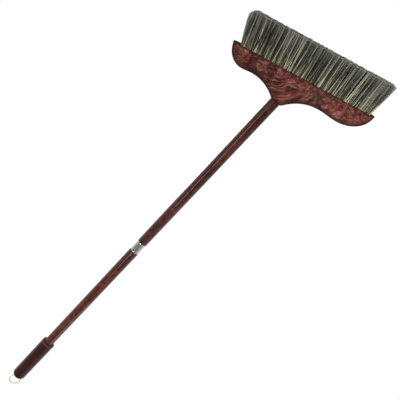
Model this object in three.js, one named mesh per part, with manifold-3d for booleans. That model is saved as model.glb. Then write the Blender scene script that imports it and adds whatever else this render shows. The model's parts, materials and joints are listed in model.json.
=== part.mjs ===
// An upright broom: a hardwood head with bristle tufts in drilled holes, a raked handle of two wooden poles
// that screw together in a steel ferrule, and a moulded grip with a wire ring to hang it by.
// Millimetres, +Z up. The origin is the middle of the sweeping face, where the handle's axis meets the floor.
// The head lies along X, its long wing towards -X, and the handle leans over the short wing, towards +X.
import * as THREE from "three";
import { mergeVertices } from "three/addons/utils/BufferGeometryUtils.js";
import Module from "manifold-3d";

const wasm = await Module();
wasm.setup();

// Fits
const FIT = 0.3; // gap between pieces that seat on each other
const CUT_OVER = 1; // how far a cutting tool runs past the face that it opens

// Bristles
const BRISTLE_LENGTH = 71.5; // from the block's underside to the trimmed tips
const SWEEP_DEPTH = 47; // across the tips, front to back
const TUFT_RANKS = 27; // tufts along the head
const TUFT_ROWS = 3; // tufts from front to back
const TUFT_D = 6.4; // a tuft where the block holds it
const TUFT_SEAT = 12; // how deep a tuft sits in its hole
const RANK_GAP = 0.5; // between neighbouring ranks at the tips
const ROW_BLEND = 1.5; // how far the rows of a rank run into each other at the tips
const TUFT_SIDES = 6;

// Head block
const BLOCK_DEPTH = 30; // front to back
const BLOCK_HEIGHT = 66; // underside to the seat of the pole, on the handle's axis
const EDGE_ROUND = 4; // round of the block's front and back edges
const HOLE_MARGIN = 3.2; // wood between the outer holes and the block's faces
const LONG_WING = {
  side: -1,
  reach: 154.2, // sweep centre to tip
  ear: 10.2, // bare wood past the last tuft
  tipsPast: 5.8, // bristle tips past the wing's tip
  crestIn: 61.2, // tip to the crest of the wing
  crest: 43, // height of the crest
  waistOut: 64, // neck to the waist
  waist: 39.2, // height of the waist
  shoulder: 3.8, // neck past the side of the pole
  drop: 3.4, // fall of that shoulder from the pole's seat
};
const SHORT_WING = {
  side: 1,
  reach: 167,
  ear: 16,
  tipsPast: -6.5,
  crestIn: 41,
  crest: 39.8,
  waistOut: 58,
  waist: 38.5,
  shoulder: 0.6,
  drop: 0,
};
const TIP_PULL = new THREE.Vector2(0.12, 0.64); // how steeply a wing rises from its tip
const CREST_PULL = 0.47; // how full the outer shoulder is
const WAIST_PULL = 0.42; // how long the waist runs level towards the neck
const NECK_PULL = new THREE.Vector2(0.24, 0.55); // how steeply a wing meets the neck
const EDGE_STEPS = 7; // straight steps in each curve of the outline
const ROUND_STEPS = 2; // steps in the round of an edge

// Poles
const RAKE = THREE.MathUtils.degToRad(14); // handle's lean from upright, in the plane of the head
const POLE_D = 23.5;
const LOWER_POLE = 448; // from the block to the ferrule
const UPPER_POLE = 365.5; // from the washer to the grip
const TENON_STEP = 4; // from the pole's side in to its tenon, in the block
const TENON_COVER = 14; // wood between the tenon's end and the tuft holes
const POLE_SIDES = 24;

// Screwed joint between the poles
const FERRULE_INSET = 0.2; // below the pole's side
const FERRULE_WALL = 1.4; // round the lower pole's spigot
const FERRULE_LENGTH = 31;
const SPIGOT_LENGTH = 14; // turned end of the lower pole, in the ferrule
const STUD_D = 13; // threaded end of the stud, in the ferrule
const STUD_LENGTH = 15;
const SHANK_D = 9; // plain end of the stud, in the upper pole
const SHANK_LENGTH = 34;
const WASHER_INSET = 0.5; // below the pole's side
const WASHER_THICKNESS = 1.2;

// Neck screw
const SCREW_D = 4;
const SCREW_HEAD_D = 8;
const SCREW_HEAD_HEIGHT = 2.4;
const SCREW_COVER = 4; // wood in front of the screw's tip
const SCREW_BELOW = 18; // below the pole's seat, along the handle
const SCREW_SIDES = 12;

// Grip and ring
const GRIP_WALL = 4.7;
const GRIP_LENGTH = 152;
const GRIP_CAP = 36; // solid end of the grip, past the pole
const LIP_RAISE = 0.3; // lip at the grip's mouth
const LIP_LENGTH = 5;
const LIP_CHAMFER = 1;
const DOME = 12; // height of the grip's rounded end
const DOME_STEPS = 6;
const RING_D = 31; // outside
const RING_WIRE = 1.8;
const RING_DEPTH = 3.4; // of the ring's wire below the top of the dome
const RING_TURN = THREE.MathUtils.degToRad(-26); // of the ring's plane about the handle's axis
const RING_TILT = THREE.MathUtils.degToRad(12); // of the ring to the front, where it rests
const RING_PLAY = 0.5; // round the wire in its tunnel
const TUNNEL_REACH = 0.85; // how far out along the ring's radius its tunnel is cut
const TUNNEL_STEPS = 10;
const TUNNEL_SIDES = 12;
const WIRE_SIDES = 8;
const RING_STEPS = 32;

// Heights along the handle's axis, from the sweep centre
const blockTop = BRISTLE_LENGTH + BLOCK_HEIGHT;
const seat = blockTop / Math.cos(RAKE);
const poleStart = seat + FIT;
const ferruleStart = poleStart + LOWER_POLE + FIT;
const ferruleEnd = ferruleStart + FERRULE_LENGTH;
const washerStart = ferruleEnd + FIT;
const upperStart = washerStart + WASHER_THICKNESS + FIT;
const gripStart = upperStart + UPPER_POLE;
const gripEnd = gripStart + GRIP_LENGTH;
const ringPivot = gripEnd - RING_DEPTH;

// Sizes that follow from others
const poleRadius = POLE_D / 2;
const tenonRadius = poleRadius - TENON_STEP;
const tenonLength = (BLOCK_HEIGHT - TUFT_SEAT - TENON_COVER) / Math.cos(RAKE);
const ferruleRadius = poleRadius - FERRULE_INSET;
const spigotRadius = ferruleRadius - FERRULE_WALL - FIT;
const gripBore = poleRadius + FIT;
const gripRadius = gripBore + GRIP_WALL;
const wireRadius = RING_WIRE / 2;
const ringRadius = RING_D / 2 - wireRadius;
const HANDLE_LEAN = new THREE.Matrix4().makeRotationY(RAKE);

// Materials
const colours = {
  blockWood: { color: 0x69372d, roughness: 0.45, metalness: 0 },
  poleWood: { color: 0x4b2824, roughness: 0.35, metalness: 0 },
  bristle: { color: 0x6e6e5f, roughness: 0.8, metalness: 0 },
  steel: { color: 0xb9bbbd, roughness: 0.2, metalness: 1 },
  zinc: { color: 0x9fa3a6, roughness: 0.4, metalness: 1 },
  blackRubber: { color: 0x161616, roughness: 0.8, metalness: 0 },
  gripPlastic: { color: 0x3a1e1c, roughness: 0.5, metalness: 0 },
  gold: { color: 0xd9bf6a, roughness: 0.3, metalness: 1 },
};

// A named mesh with a material of its own
function piece(name, geometry, finish) {
  const mesh = new THREE.Mesh(geometry, new THREE.MeshStandardMaterial(colours[finish]));
  mesh.name = name;
  return mesh;
}

// A closed geometry as a solid that can be cut and joined
function solid(geometry) {
  const bare = geometry.index ? geometry.toNonIndexed() : geometry.clone();
  bare.deleteAttribute("normal");
  bare.deleteAttribute("uv");
  const merged = mergeVertices(bare, 1e-4);
  const vertProperties = merged.attributes.position.array;
  const triVerts = new Uint32Array(merged.index.array);
  return new wasm.Manifold(new wasm.Mesh({ numProp: 3, vertProperties, triVerts }));
}

// A solid back as a geometry
function geometryOf(body) {
  const { vertProperties, triVerts } = body.getMesh();
  const geometry = new THREE.BufferGeometry();
  geometry.setAttribute("position", new THREE.BufferAttribute(vertProperties, 3));
  geometry.setIndex(new THREE.BufferAttribute(triVerts, 1));
  return geometry;
}

// A turned shape about Z, from [radius, height] pairs that run up its outside
function turned(profile, sides) {
  const points = profile.map(([radius, height]) => new THREE.Vector2(radius, height));
  return new THREE.LatheGeometry(points, sides).rotateX(Math.PI / 2);
}

function rod(radius, from, to, sides) {
  return turned(
    [
      [0, from],
      [radius, from],
      [radius, to],
      [0, to],
    ],
    sides,
  );
}

// A point on or below the pole's seat, at a distance across the handle from its axis
function onSeat(across, below) {
  const point = new THREE.Vector3(across, 0, seat - below).applyMatrix4(HANDLE_LEAN);
  return new THREE.Vector2(point.x, point.z - BRISTLE_LENGTH);
}

// Upper edge of a wing, from its tip to the neck, above the block's underside
function wingEdge(wing) {
  const at = (x, z) => new THREE.Vector2(x, z);
  const corner = onSeat(wing.side * (poleRadius + wing.shoulder), wing.drop);
  const tip = at(wing.side * wing.reach, 0);
  const crest = at(tip.x - wing.side * wing.crestIn, wing.crest);
  const waist = at(corner.x + wing.side * wing.waistOut, wing.waist);
  const outer = crest.clone().sub(tip);
  const dip = waist.x - crest.x;
  const inner = corner.clone().sub(waist);
  const curves = [
    new THREE.CubicBezierCurve(
      tip,
      tip.clone().add(outer.clone().multiply(TIP_PULL)),
      at(crest.x - CREST_PULL * outer.x, crest.y),
      crest,
    ),
    new THREE.CubicBezierCurve(
      crest,
      at(crest.x + WAIST_PULL * dip, crest.y),
      at(waist.x - WAIST_PULL * dip, waist.y),
      waist,
    ),
    new THREE.CubicBezierCurve(
      waist,
      at(waist.x + WAIST_PULL * inner.x, waist.y),
      corner.clone().sub(inner.clone().multiply(NECK_PULL)),
      corner,
    ),
  ];
  return curves.flatMap((curve, i) => curve.getPoints(EDGE_STEPS).slice(i ? 1 : 0));
}

// Where each tuft leaves the block and where its tip is
const sweepStart = -LONG_WING.reach - LONG_WING.tipsPast;
const sweepEnd = SHORT_WING.reach + SHORT_WING.tipsPast;
const tipPitch = (sweepEnd - sweepStart) / TUFT_RANKS;
const rowTipPitch = (SWEEP_DEPTH - 2 * ROW_BLEND) / TUFT_ROWS;
const firstTuft = -LONG_WING.reach + LONG_WING.ear + TUFT_D / 2;
const lastTuft = SHORT_WING.reach - SHORT_WING.ear - TUFT_D / 2;
const rankPitch = (lastTuft - firstTuft) / (TUFT_RANKS - 1);
const rowPitch = (BLOCK_DEPTH - 2 * HOLE_MARGIN - TUFT_D) / (TUFT_ROWS - 1);

// A prism of a tuft's section between two heights, leaning and, below the block, spreading as the tuft does
function tuft(rank, row, radius, from, to) {
  const geometry = rod(radius, from, to, TUFT_SIDES);
  const flat = (TUFT_D / 2) * Math.cos(Math.PI / TUFT_SIDES);
  const wide = (tipPitch - RANK_GAP) / 2 / flat - 1;
  const deep = (rowTipPitch / 2 + ROW_BLEND) / (TUFT_D / 2) - 1;
  const base = new THREE.Vector2(firstTuft + rank * rankPitch, (row - (TUFT_ROWS - 1) / 2) * rowPitch);
  const tip = new THREE.Vector2(
    sweepStart + (rank + 0.5) * tipPitch,
    (row - (TUFT_ROWS - 1) / 2) * rowTipPitch,
  );
  const position = geometry.attributes.position;
  for (let i = 0; i < position.count; i++) {
    const lean = 1 - position.getZ(i) / BRISTLE_LENGTH;
    const spread = Math.max(0, lean);
    const centre = base.clone().lerp(tip, lean);
    position.setX(i, centre.x + position.getX(i) * (1 + wide * spread));
    position.setY(i, centre.y + position.getY(i) * (1 + deep * spread));
  }
  return geometry;
}

// One rank of tufts, front to back, whose tips run together
function tuftRank(rank) {
  let body = null;
  for (let row = 0; row < TUFT_ROWS; row++) {
    const stub = solid(tuft(rank, row, TUFT_D / 2, BRISTLE_LENGTH - FIT, BRISTLE_LENGTH + TUFT_SEAT));
    const bundle = solid(tuft(rank, row, TUFT_D / 2, 0, BRISTLE_LENGTH - FIT));
    const whole = stub.add(bundle);
    body = body ? body.add(whole) : whole;
  }
  const name = `tuft_rank_${String(rank + 1).padStart(2, "0")}`;
  return piece(name, geometryOf(body), "bristle");
}

// The neck screw's turned shape, pointing along +Y to its head, larger by some clearance for its hole
function screwShape(clearance, over) {
  const back = BLOCK_DEPTH / 2;
  const tip = SCREW_COVER - back - clearance;
  const radius = SCREW_D / 2 + clearance;
  const headRadius = SCREW_HEAD_D / 2 + clearance;
  const mouth = over ? [[headRadius, back + over]] : [];
  const outline = [
    [0, tip],
    [radius, tip],
    [radius, back - SCREW_HEAD_HEIGHT],
    [headRadius, back],
    ...mouth,
    [0, back + over],
  ];
  return turned(outline, SCREW_SIDES).rotateX(-Math.PI / 2).translate(0, 0, seat - SCREW_BELOW);
}

// The head block: the front outline, rounded along its edges, with round ends seen from below
function headBlock() {
  const longEdge = wingEdge(LONG_WING);
  const shortEdge = wingEdge(SHORT_WING).reverse();
  const seatEdge = onSeat(LONG_WING.side * (poleRadius + FIT), 0);
  const below = 2 * EDGE_ROUND;
  const foot = [
    new THREE.Vector2(SHORT_WING.reach, -below),
    new THREE.Vector2(-LONG_WING.reach, -below),
  ];
  const front = new THREE.ExtrudeGeometry(new THREE.Shape([...longEdge, seatEdge, ...shortEdge, ...foot]), {
    depth: BLOCK_DEPTH - 2 * EDGE_ROUND,
    bevelThickness: EDGE_ROUND,
    bevelSize: EDGE_ROUND,
    bevelOffset: -EDGE_ROUND,
    bevelSegments: ROUND_STEPS,
  });
  front.rotateX(Math.PI / 2).translate(0, BLOCK_DEPTH / 2 - EDGE_ROUND, BRISTLE_LENGTH);

  const half = BLOCK_DEPTH / 2;
  const fromBelow = new THREE.Shape();
  fromBelow.absarc(SHORT_WING.reach - half, 0, half, -Math.PI / 2, Math.PI / 2);
  fromBelow.absarc(-LONG_WING.reach + half, 0, half, Math.PI / 2, (3 * Math.PI) / 2);
  const tall = 2 * BLOCK_HEIGHT;
  const plan = new THREE.ExtrudeGeometry(fromBelow, { depth: tall, bevelEnabled: false });
  plan.translate(0, 0, BRISTLE_LENGTH);

  const socket = rod(tenonRadius + FIT, seat - tenonLength - FIT, seat + CUT_OVER, POLE_SIDES);
  let body = solid(front).intersect(solid(plan));
  body = body.subtract(solid(socket.applyMatrix4(HANDLE_LEAN)));
  body = body.subtract(solid(screwShape(FIT, CUT_OVER).applyMatrix4(HANDLE_LEAN)));
  for (let rank = 0; rank < TUFT_RANKS; rank++) {
    for (let row = 0; row < TUFT_ROWS; row++) {
      const mouth = BRISTLE_LENGTH - CUT_OVER;
      const end = BRISTLE_LENGTH + TUFT_SEAT + FIT;
      body = body.subtract(solid(tuft(rank, row, TUFT_D / 2 + FIT, mouth, end)));
    }
  }
  return piece("head_block", geometryOf(body), "blockWood");
}

function lowerPole() {
  const top = poleStart + LOWER_POLE;
  const wood = turned(
    [
      [0, seat - tenonLength],
      [tenonRadius, seat - tenonLength],
      [tenonRadius, poleStart],
      [poleRadius, poleStart],
      [poleRadius, top],
      [spigotRadius, top],
      [spigotRadius, top + SPIGOT_LENGTH],
      [0, top + SPIGOT_LENGTH],
    ],
    POLE_SIDES,
  );
  const body = solid(wood).subtract(solid(screwShape(FIT, CUT_OVER)));
  return piece("lower_pole", geometryOf(body), "poleWood");
}

// A steel sleeve on the lower pole's spigot, with a narrower threaded bore above it
function jointFerrule() {
  const step = ferruleStart + SPIGOT_LENGTH;
  const threadRadius = STUD_D / 2 + FIT;
  const sleeve = turned(
    [
      [spigotRadius + FIT, ferruleStart],
      [ferruleRadius, ferruleStart],
      [ferruleRadius, ferruleEnd],
      [threadRadius, ferruleEnd],
      [threadRadius, step],
      [spigotRadius + FIT, step],
      [spigotRadius + FIT, ferruleStart],
    ],
    POLE_SIDES,
  );
  return piece("joint_ferrule", sleeve, "steel");
}

function jointWasher() {
  const inner = STUD_D / 2 + FIT;
  const outer = poleRadius - WASHER_INSET;
  const ring = turned(
    [
      [inner, washerStart],
      [outer, washerStart],
      [outer, washerStart + WASHER_THICKNESS],
      [inner, washerStart + WASHER_THICKNESS],
      [inner, washerStart],
    ],
    POLE_SIDES,
  );
  return piece("joint_washer", ring, "blackRubber");
}

// The stud hangs from the upper pole: a thread below the pole's end and a plain shank inside it
function jointStud() {
  const shoulder = upperStart - FIT;
  const stud = turned(
    [
      [0, ferruleEnd - STUD_LENGTH],
      [STUD_D / 2, ferruleEnd - STUD_LENGTH],
      [STUD_D / 2, shoulder],
      [SHANK_D / 2, shoulder],
      [SHANK_D / 2, shoulder + SHANK_LENGTH],
      [0, shoulder + SHANK_LENGTH],
    ],
    POLE_SIDES,
  );
  return piece("joint_stud", stud, "zinc");
}

function upperPole() {
  const bore = SHANK_D / 2 + FIT;
  const boreEnd = upperStart + SHANK_LENGTH;
  const top = gripEnd - GRIP_CAP - FIT;
  const wood = turned(
    [
      [0, boreEnd],
      [bore, boreEnd],
      [bore, upperStart],
      [poleRadius, upperStart],
      [poleRadius, top],
      [0, top],
    ],
    POLE_SIDES,
  );
  return piece("upper_pole", wood, "poleWood");
}

// The way through the dome for the ring's wire, whose mouths let the ring swing to either side
function ringTunnel() {
  const reach = TUNNEL_REACH * ringRadius;
  const hole = wireRadius + RING_PLAY;
  const profile = [[0, -reach]];
  for (let i = 0; i <= TUNNEL_STEPS; i++) {
    const along = THREE.MathUtils.lerp(-reach, reach, i / TUNNEL_STEPS);
    const rise = ringRadius - Math.sqrt(ringRadius ** 2 - along ** 2);
    profile.push([rise + hole, along]);
  }
  profile.push([0, reach]);
  const swept = turned(profile, TUNNEL_SIDES).rotateY(Math.PI / 2);
  const above = new THREE.BoxGeometry(RING_D, RING_D, RING_D).translate(0, 0, RING_D / 2 - hole);
  for (const shape of [swept, above]) shape.rotateZ(RING_TURN).translate(0, 0, ringPivot);
  return solid(swept).intersect(solid(above));
}

function grip() {
  const domeStart = gripEnd - DOME;
  const lip = gripRadius + LIP_RAISE;
  const dome = [];
  for (let i = 0; i <= DOME_STEPS; i++) {
    const angle = (i / DOME_STEPS) * (Math.PI / 2);
    const across = i === DOME_STEPS ? 0 : gripRadius * Math.cos(angle);
    dome.push([across, domeStart + DOME * Math.sin(angle)]);
  }
  const sleeve = turned(
    [
      [0, gripEnd - GRIP_CAP],
      [gripBore, gripEnd - GRIP_CAP],
      [gripBore, gripStart],
      [lip - LIP_CHAMFER, gripStart],
      [lip, gripStart + LIP_CHAMFER],
      [lip, gripStart + LIP_LENGTH],
      [gripRadius, gripStart + LIP_LENGTH + LIP_CHAMFER],
      ...dome,
    ],
    POLE_SIDES,
  );
  const body = solid(sleeve).subtract(ringTunnel());
  return piece("grip", geometryOf(body), "gripPlastic");
}

function hangingRing() {
  const ring = new THREE.TorusGeometry(ringRadius, wireRadius, WIRE_SIDES, RING_STEPS)
    .rotateX(Math.PI / 2)
    .translate(0, 0, ringRadius)
    .rotateX(RING_TILT)
    .rotateZ(RING_TURN)
    .translate(0, 0, ringPivot);
  return piece("hanging_ring", ring, "gold");
}

// Assembly: the head stands in the part's own frame, and the handle's pieces lean with it
const broom = new THREE.Group();
broom.add(headBlock());
for (let rank = 0; rank < TUFT_RANKS; rank++) broom.add(tuftRank(rank));

const handle = new THREE.Group();
handle.rotation.y = RAKE;
handle.add(piece("neck_screw", screwShape(0, 0), "zinc"));
handle.add(lowerPole());
handle.add(jointFerrule());
handle.add(jointWasher());
handle.add(jointStud());
handle.add(upperPole());
handle.add(grip());
handle.add(hangingRing());
broom.add(handle);

export default broom;
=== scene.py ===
"""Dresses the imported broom: a burled hardwood head full of bristles, a raked pole in two lacquered
sections that screw together in a steel ferrule, a moulded grip, and a wire ring to hang it by.
"""

import json
from math import atan2, cos, pi, radians, sin, sqrt
from types import SimpleNamespace

import bmesh
import bpy
from bpy.props import FloatProperty, FloatVectorProperty, IntProperty, PointerProperty
from bpy.types import Operator, Panel, PropertyGroup
from mathutils import Matrix, Vector


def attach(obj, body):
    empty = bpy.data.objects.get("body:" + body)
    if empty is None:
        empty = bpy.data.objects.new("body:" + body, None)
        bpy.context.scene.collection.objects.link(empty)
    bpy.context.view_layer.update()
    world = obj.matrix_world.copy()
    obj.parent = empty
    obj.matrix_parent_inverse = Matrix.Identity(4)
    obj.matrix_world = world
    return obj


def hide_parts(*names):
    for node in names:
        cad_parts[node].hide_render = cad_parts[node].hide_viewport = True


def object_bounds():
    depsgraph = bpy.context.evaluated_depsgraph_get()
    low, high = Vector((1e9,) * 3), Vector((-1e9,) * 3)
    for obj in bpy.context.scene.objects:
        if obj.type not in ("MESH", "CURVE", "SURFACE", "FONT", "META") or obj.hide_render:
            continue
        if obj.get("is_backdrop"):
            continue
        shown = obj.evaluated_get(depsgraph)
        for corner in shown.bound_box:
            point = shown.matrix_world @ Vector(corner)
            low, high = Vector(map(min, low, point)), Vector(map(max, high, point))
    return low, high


bl_info = {
    "name": "Broom Dresser",
    "version": (1, 0, 0),
    "blender": (4, 5, 0),
    "location": "View3D > Sidebar > Broom",
    "description": "Builds the visible pieces of a two-section upright broom on its packed frame",
    "category": "Object",
}

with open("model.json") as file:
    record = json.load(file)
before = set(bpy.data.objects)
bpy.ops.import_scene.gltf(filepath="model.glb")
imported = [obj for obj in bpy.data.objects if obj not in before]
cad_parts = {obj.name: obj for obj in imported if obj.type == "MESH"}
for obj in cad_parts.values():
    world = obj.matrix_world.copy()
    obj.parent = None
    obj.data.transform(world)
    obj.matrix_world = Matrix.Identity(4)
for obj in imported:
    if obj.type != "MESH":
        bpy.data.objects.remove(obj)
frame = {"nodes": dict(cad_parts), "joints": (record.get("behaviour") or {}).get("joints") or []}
cad_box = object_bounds()
joints = {joint["name"]: joint for joint in frame["joints"]}

# Bodies of the frame
HEAD = "head_and_lower_pole"
WASHER = "washer"
UPPER = "upper_handle"
RING = "ring"

MM = 0.001
GAP = 0.3 * MM
TINY = 1e-9
TURNED_SIDES = 64
EASE_STEPS = 3
WHITE = (1, 1, 1, 1)
HANDLE_AXIS = Vector(joints["pole_turn"]["axis"]).normalized()
RAKE = atan2(HANDLE_AXIS.x, HANDLE_AXIS.z)
LEAN = Matrix.Rotation(RAKE, 4, "Y")
RING_AXIS = LEAN.inverted() @ Vector(joints["ring_swing"]["axis"])
RING_TURN = atan2(RING_AXIS.y, RING_AXIS.x)
RING_PIVOT = Vector(joints["ring_swing"]["pos_m"]).dot(HANDLE_AXIS)


class Span:
    """Where a CAD node starts and ends along the handle's axis, and how far it reaches from it."""

    def __init__(self, node):
        corners = [LEAN.inverted() @ vertex.co for vertex in frame["nodes"][node].data.vertices]
        self.start = min(corner.z for corner in corners)
        self.end = max(corner.z for corner in corners)
        self.radius = max(corner.xy.length for corner in corners)


SEAT = Span("head_block").end
FERRULE = Span("joint_ferrule")
WASHER_SPAN = Span("joint_washer")
STUD = Span("joint_stud")
LOWER = Span("lower_pole")
UPPER_POLE = Span("upper_pole")
GRIP = Span("grip")
RANKS = sorted(node for node in frame["nodes"] if node.startswith("tuft_rank_"))


# Settings


def length_prop(name, about, millimetres, least):
    size = millimetres * MM
    return FloatProperty(name=name, description=about, default=size, min=least * MM, unit="LENGTH")


def colour_prop(name, about, colour):
    return FloatVectorProperty(name=name, description=about, subtype="COLOR", default=colour)


def light_prop(name, about, strength, unit="NONE"):
    return FloatProperty(name=name, description=about, default=strength, min=0, unit=unit)


def angle_prop(name, about, degrees):
    return FloatProperty(name=name, description=about, default=radians(degrees), subtype="ANGLE")


class HeadSettings(PropertyGroup):
    """The wooden block."""

    depth: length_prop("Depth", "Block from front to back", 30, 10)
    round: length_prop("Edge Round", "Round of the upper edges", 4, 1)
    wood: colour_prop("Wood", "Main colour of the block", (0.15, 0.047, 0.034))
    vein: colour_prop("Vein", "Dark veins of the block", (0.018, 0.006, 0.0055))
    glow: colour_prop("Light Streak", "Pale streaks of the block", (0.40, 0.165, 0.125))


class BristleSettings(PropertyGroup):
    """The tufts."""

    length: length_prop("Length", "Block to tips", 71.5, 10)
    strands: IntProperty(name="Strands", description="Bristles in each tuft", default=130, min=1, max=400)
    thickness: length_prop("Thickness", "A bristle at its root", 1.25, 0.1)
    fibre: colour_prop("Fibre", "Most of the bristles", (0.185, 0.187, 0.15))
    dark: colour_prop("Dark Fibre", "Darkest bristles", (0.026, 0.026, 0.021))
    pale: colour_prop("Pale Fibre", "Palest bristles", (0.6, 0.59, 0.46))


class HandleSettings(PropertyGroup):
    """The poles, the joint between them, the grip and the ring."""

    pitch: length_prop("Thread Pitch", "Stud's travel in one turn", 2, 0.5)
    pole: colour_prop("Pole", "Main colour of the poles", (0.095, 0.0245, 0.0175))
    streak: colour_prop("Pole Streak", "Dark streaks of the poles", (0.014, 0.0045, 0.004))
    grip: colour_prop("Grip", "Colour of the grip", (0.043, 0.0092, 0.0066))
    ring: colour_prop("Ring", "Colour of the ring", (0.6, 0.47, 0.13))


class StageSettings(PropertyGroup):
    """The floor, the lamps and the camera."""

    floor: colour_prop("Floor", "Colour of the floor", (0.82, 0.82, 0.82))
    key: light_prop("Key Lamp", "Power of the key lamp", 12.5, "POWER")
    fill: light_prop("Fill Lamp", "Power of the fill lamp", 13.4, "POWER")
    sky: light_prop("Floor Lamp", "Strength of the light on the floor", 2.7)
    room: light_prop("Room Light", "Strength of the light from all round", 0.3)
    eye: FloatVectorProperty(
        name="Camera",
        description="Place of the camera",
        subtype="TRANSLATION",
        default=(0.0731, -1.2447, -0.1155),
    )
    pitch: angle_prop("Pitch", "Camera's tilt up", 22.92)
    roll: angle_prop("Roll", "Camera's turn about its view", -151.43)
    lens: FloatProperty(name="Lens", description="Focal length in millimetres", default=55, min=1)


# Node trees


class Nodes:
    """Short calls that add nodes to a tree and join them."""

    def __init__(self, tree):
        self.tree = tree

    def put(self, socket, value):
        if isinstance(value, bpy.types.NodeSocket):
            self.tree.links.new(value, socket)
        else:
            socket.default_value = value

    def add(self, kind, inputs=None, **settings):
        node = self.tree.nodes.new(kind)
        for name, value in settings.items():
            setattr(node, name, value)
        for key, value in (inputs or {}).items():
            self.put(node.inputs[key], value)
        return node

    def out(self, kind, inputs=None, output=0, **settings):
        """Adds a node and gives one of its outputs."""
        return self.add(kind, inputs, **settings).outputs[output]

    def math(self, operation, *values):
        return self.out("ShaderNodeMath", dict(enumerate(values)), operation=operation)

    def vector(self, operation, *values):
        return self.out("ShaderNodeVectorMath", dict(enumerate(values)), operation=operation)

    def combine(self, x, y, z):
        return self.out("ShaderNodeCombineXYZ", {"X": x, "Y": y, "Z": z})

    def axes(self, vector):
        return self.add("ShaderNodeSeparateXYZ", {"Vector": vector}).outputs

    def mix(self, factor, a, b):
        return self.out("ShaderNodeMix", {0: factor, 4: a, 5: b}, 1, data_type="VECTOR")

    def blend(self, factor, a, b, how="MIX"):
        inputs = {0: factor, 6: a, 7: b}
        return self.out("ShaderNodeMix", inputs, 2, data_type="RGBA", blend_type=how)

    def random(self, low, high, who, seed):
        inputs = {2: low, 3: high, 7: who, 8: seed}
        return self.out("FunctionNodeRandomValue", inputs, 1, data_type="FLOAT")

    def scatter(self, reach, who, seed):
        """A random vector between a reach and its opposite."""
        inputs = {0: [-side for side in reach], 1: reach, 7: who, 8: seed}
        return self.out("FunctionNodeRandomValue", inputs, data_type="FLOAT_VECTOR")

    def noise(self, place, scale, detail=3.0, rough=0.5, distortion=0.0):
        inputs = {"Vector": place, "Scale": scale, "Detail": detail}
        inputs |= {"Roughness": rough, "Distortion": distortion}
        return self.out("ShaderNodeTexNoise", inputs, "Fac")

    def ramp(self, value, *stops):
        node = self.add("ShaderNodeValToRGB", {"Fac": value})
        elements = node.color_ramp.elements
        while len(elements) < len(stops):
            elements.new(1)
        for element, (place, *paint) in zip(elements, stops):
            element.position = place
            element.color = rgba(*paint)
        return node.outputs["Color"]

    def levels(self, *values):
        """Maps a value from between two levels to between two others, or to between 0 and 1."""
        return self.out("ShaderNodeMapRange", dict(enumerate(values)))

    def bump(self, height, strength, distance):
        inputs = {"Height": height, "Strength": strength, "Distance": distance}
        return self.out("ShaderNodeBump", inputs)


class Shader(Nodes):
    """The nodes of a new material round its main shader."""

    def __init__(self, name):
        self.material = bpy.data.materials.new(name)
        self.material.use_nodes = True
        super().__init__(self.material.node_tree)
        self.main = self.tree.nodes["Principled BSDF"]

    def place(self):
        """Where a point is in the part's frame."""
        return self.out("ShaderNodeTexCoord", output="Object")

    def turned(self, vector, angle):
        """A place turned about Y."""
        return self.out("ShaderNodeMapping", {"Vector": vector, "Rotation": (0, angle, 0)})

    def upright(self):
        """Where a point is when the handle stands along Z."""
        return self.turned(self.place(), -RAKE)

    def drawn(self, vector, share):
        """A place squeezed along Z to a share, so that a pattern on it is drawn out along Z."""
        return self.vector("MULTIPLY", vector, (1, 1, share))

    def attribute(self, name):
        return self.out("ShaderNodeAttribute", output="Fac", attribute_name=name)

    def finish(self, **inputs):
        """Sets the main shader's sockets, named as in Blender with underscores for spaces."""
        for key, value in inputs.items():
            self.put(self.main.inputs[key.replace("_", " ")], value)
        return self.material


def rgba(colour, shade=1.0):
    return (*(shade * channel for channel in colour), 1.0)


# Wood of the head
GRAIN_SLOPE = radians(27)
GRAIN_CELL = (34 * MM, 12 * MM, 3.2 * MM)
PORE_SCALE = (90, 700, 900)
KNOT_TURNS = 22
SWIRL_FADE = (90 * MM, 120 * MM)
FLOW_RISE = (85 * MM, 115 * MM)
NECK_CALM = (100 * MM, 125 * MM)
# Painted light across the block: lighter towards the long wing at -X
HEAD_LIGHT_RUN = (-120 * MM, 120 * MM)
EYE_GREY = (0.03, 0.029, 0.027, 1)
# Height of the painted shadow along the block's foot
FOOT_SHADE = 4 * MM
SAWN_FADE = (0.2 * MM, 1 * MM)


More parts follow.
